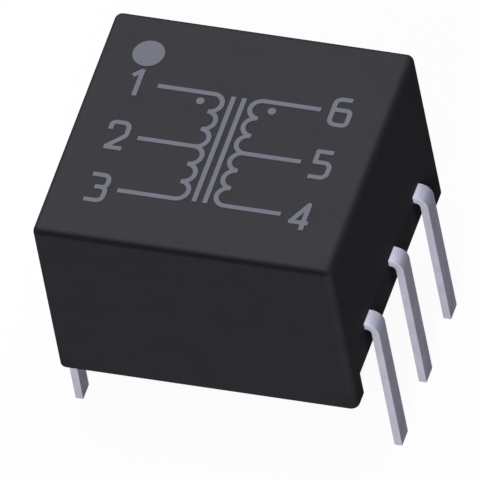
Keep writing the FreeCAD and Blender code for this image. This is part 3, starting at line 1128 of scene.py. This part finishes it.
@dataclass
class Print:
    """The grey print on the roof: a dot for pin 1, the sign of two tapped windings, and numbers.

    The print keeps its CAD shapes. Drops of ink fill the corners where two square ends meet.
    """

    nodes: tuple[str, ...] = ("pin_one_dot", "winding_diagram", "pin_numbers")
    # The numbers 1, 4 and 5.
    numerals: tuple[Numeral, ...] = (
        Numeral(middle=(-3.25, 1.75), corners=((0.05, 0.48),)),
        Numeral(middle=(3.25, -2.45), corners=((0.22, 0.50), (-0.50, -0.22))),
        Numeral(middle=(3.25, -0.35), corners=((-0.40, 0.50), (-0.40, 0.08))),
    )
    number_width: float = 0.56
    number_height: float = 1.00
    stroke: float = 0.15
    drop_steps: int = 24
    # The drops stay this much lower than the strokes, so that no two faces lie in one plane.
    step: float = 0.001

    def drops(self) -> Workpiece:
        """Raises a round drop at each corner.

        Returns:
            The drops' mesh.
        """
        low, high = box_mm("pin_numbers")
        work = Workpiece()
        for numeral in self.numerals:
            for right, up in numeral.corners:
                centre = Vector((*numeral.middle, low.z))
                centre += Vector((right * self.number_width, up * self.number_height, 0.0))
                bmesh.ops.create_circle(
                    work.mesh,
                    cap_ends=True,
                    segments=self.drop_steps,
                    radius=self.stroke / 2,
                    matrix=Matrix.Translation(centre),
                )
        height = high.z - low.z - self.step
        work.extrude(list(work.mesh.faces), Vector((0.0, 0.0, height)))
        return work

    def build(self, paints: Paints) -> list[bpy.types.Object]:
        """Gives the printed shapes their ink, and builds and dresses the drops.

        Args:
            paints: the materials.

        Returns:
            The printed shapes and the drops.
        """
        printed = [paints.dress_node(node, Slot.INK) for node in self.nodes]
        drops = self.drops().finish("number_corners")
        return [*printed, paints.dress_piece(drops, Slot.INK)]


# Studio


def direction(azimuth: float, elevation: float) -> Vector:
    """Gives the direction from the object to a place round it.

    Args:
        azimuth: in degrees, 0 at -Y and growing towards +X.
        elevation: in degrees above the floor.

    Returns:
        A vector of length 1.
    """
    turn, rise = math.radians(azimuth), math.radians(elevation)
    level = math.cos(rise)
    return Vector((math.sin(turn) * level, -math.cos(turn) * level, math.sin(rise)))


@dataclass(frozen=True)
class Softbox:
    """A square area lamp that faces the object, placed and sized by angles in degrees.

    Its distance is in metres.
    """

    name: str
    azimuth: float
    elevation: float
    spread: float
    brightness: float
    distance: float = 80 * MM
    colour: Colour = (0.975, 0.975, 1.06)

    def build(self) -> None:
        """Places the lamp and gives it power by its area, so that its distance doesn't count."""
        away = direction(self.azimuth, self.elevation)
        size = 2 * self.distance * math.tan(math.radians(self.spread) / 2)
        data = bpy.data.lights.new(self.name, "AREA")
        data.shape = "SQUARE"
        data.size = size
        data.color = self.colour
        data.energy = self.brightness * math.pi * size**2
        lamp = bpy.data.objects.new(self.name, data)
        lamp.location = away * self.distance
        lamp.rotation_mode = "QUATERNION"
        lamp.rotation_quaternion = away.to_track_quat("Z", "Y")
        lamp.visible_camera = False
        bpy.context.scene.collection.objects.link(lamp)


@dataclass
class Studio:
    """Floor, lamps and surroundings. The floor's sizes are in millimetres."""

    lamps: tuple[Softbox, ...] = (
        Softbox("overhead_softbox", azimuth=80, elevation=88, spread=32, brightness=6.0),
        Softbox(
            "front_softbox",
            azimuth=13.8,
            elevation=40,
            spread=8,
            brightness=92.0,
            distance=200 * MM,
        ),
        Softbox("back_softbox", azimuth=222, elevation=16, spread=28, brightness=6.0),
    )
    # The floor's colour to the camera, and the darker one of the light that it gives back.
    floor_colour: Colour = (0.90, 0.90, 0.90)
    floor_bounce: Colour = (0.17, 0.17, 0.18)
    floor_half_size: float = 300.0
    surroundings: Colour = (0.07, 0.07, 0.08)
    # Shares of plain white in what the camera sees of the floor, and in what shiny parts mirror.
    whiteness: float = 0.94
    mirrored_whiteness: float = 0.05
    # The pins' tips stay this far above the floor, so that their ends show from below.
    clearance: float = 0.01

    def white_share(self, tree: Tree, to_camera: float) -> Socket:
        """Gives the share of plain white by the kind of ray.

        Args:
            tree: the nodes of the floor or of the surroundings.
            to_camera: the share that a camera ray sees.

        Returns:
            That share, a small one for mirrored and refracted rays, or none.
        """
        rays = tree.add("ShaderNodeLightPath").outputs
        mirrored = tree.maths("MAXIMUM", rays["Is Glossy Ray"], rays["Is Transmission Ray"])
        seen = tree.product(rays["Is Camera Ray"], to_camera)
        return tree.maths("MAXIMUM", seen, tree.product(mirrored, self.mirrored_whiteness))

    def floor_material(self) -> bpy.types.Material:
        """Makes paper that is nearly white to the camera, darker to the object and clear below.

        Returns:
            The material.
        """
        material = bpy.data.materials.new("floor")
        material.use_nodes = True
        tree = Tree(material.node_tree)
        camera_ray = tree.add("ShaderNodeLightPath").outputs["Is Camera Ray"]
        behind = tree.add("ShaderNodeNewGeometry").outputs["Backfacing"]
        colour = tree.blend(camera_ray, self.floor_bounce, self.floor_colour)
        paper = tree.add("ShaderNodeBsdfDiffuse", {"Color": colour}).outputs[0]
        white = tree.add("ShaderNodeEmission", {"Color": (*WHITE, 1.0), "Strength": 1.0}).outputs[0]
        clear = tree.add("ShaderNodeBsdfTransparent").outputs[0]
        share = self.white_share(tree, self.whiteness)
        top = tree.add("ShaderNodeMixShader", {0: share, 1: paper, 2: white}).outputs[0]
        both = tree.add("ShaderNodeMixShader", {0: behind, 1: top, 2: clear}).outputs[0]
        tree.add("ShaderNodeOutputMaterial", {"Surface": both})
        return material

    def build_floor(self) -> None:
        """Lays a flat floor just below the pins' tips."""
        work = Workpiece()
        bmesh.ops.create_grid(work.mesh, x_segments=1, y_segments=1, size=self.floor_half_size)
        tips = min(box_mm(f"pin_{number}")[0].z for number in PIN_NUMBERS)
        place = Matrix.Translation((0.0, 0.0, tips - self.clearance))
        floor = work.finish("floor", place)
        floor.modifiers.clear()
        floor.data.materials.append(self.floor_material())

    def build_world(self) -> None:
        """Makes even surroundings, white where the camera sees them."""
        world = bpy.data.worlds.new("surroundings")
        world.use_nodes = True
        tree = Tree(world.node_tree)
        room, white = (
            tree.add("ShaderNodeBackground", {"Color": (*colour, 1.0), "Strength": 1.0}).outputs[0]
            for colour in (self.surroundings, WHITE)
        )
        share = self.white_share(tree, 1.0)
        both = tree.add("ShaderNodeMixShader", {0: share, 1: room, 2: white}).outputs[0]
        tree.add("ShaderNodeOutputWorld", {"Surface": both})
        bpy.context.scene.world = world

    def build(self) -> None:
        """Sets up the floor, the lamps and the surroundings."""
        self.build_floor()
        for lamp in self.lamps:
            lamp.build()
        self.build_world()
        bpy.context.scene.view_settings.view_transform = "Standard"


@dataclass(frozen=True)
class Camera:
    """The photograph's view: parallel, from the front right and above, and rolled to the left.

    Its distances are in millimetres.
    """

    azimuth: float = 25.9003
    elevation: float = 48.7107
    roll: float = 11.7381
    pixels_per_mm: float = 33.127
    image_size: int = 480
    # Where the middle of the pin grid shows in the photograph, in pixels from its upper left.
    origin_seen: tuple[float, float] = (250.924, 277.334)
    distance: float = 60.0
    # The nearest and the farthest that it sees.
    nearest: float = 1.0
    farthest: float = 1000.0

    def build(self) -> None:
        """Makes the scene's camera."""
        turn, lean = math.radians(self.azimuth), math.radians(self.roll)
        back = direction(self.azimuth, self.elevation)
        level = Vector((math.cos(turn), math.sin(turn), 0.0))
        upward = back.cross(level)
        right = level * math.cos(lean) - upward * math.sin(lean)
        up = level * math.sin(lean) + upward * math.cos(lean)
        middle = self.image_size / 2
        seen_x, seen_y = self.origin_seen
        aim = (right * (middle - seen_x) + up * (seen_y - middle)) / self.pixels_per_mm
        data = bpy.data.cameras.new("photo_camera")
        data.type = "ORTHO"
        data.ortho_scale = self.image_size / self.pixels_per_mm * MM
        data.clip_start, data.clip_end = self.nearest * MM, self.farthest * MM
        camera = bpy.data.objects.new("photo_camera", data)
        turned = Matrix((right, up, back)).transposed().to_4x4()
        camera.matrix_world = Matrix.Translation((aim + back * self.distance) * MM) @ turned
        bpy.context.scene.collection.objects.link(camera)
        bpy.context.scene.camera = camera


def report(piece: bpy.types.Object) -> None:
    """Logs a piece's name, its finish and the number of its faces."""
    finish = piece.material_slots[0].name
    log.info("%s: %s, %d faces", piece.name, finish, len(piece.data.polygons))


def main() -> None:
    """Builds the camera, the transformer's pieces and the studio, and reports each piece."""
    logging.basicConfig(level=logging.INFO, format="%(name)s: %(message)s")
    Camera().build()
    paints = Paints()
    pins = [Pin(number) for number in PIN_NUMBERS]
    assemblies: list[Assembly] = [Case(pins), *pins, Potting(), WoundCore(), Print()]
    for assembly in assemblies:
        for piece in assembly.build(paints):
            report(piece)
    Studio().build()


if __name__ == "__main__":
    main()
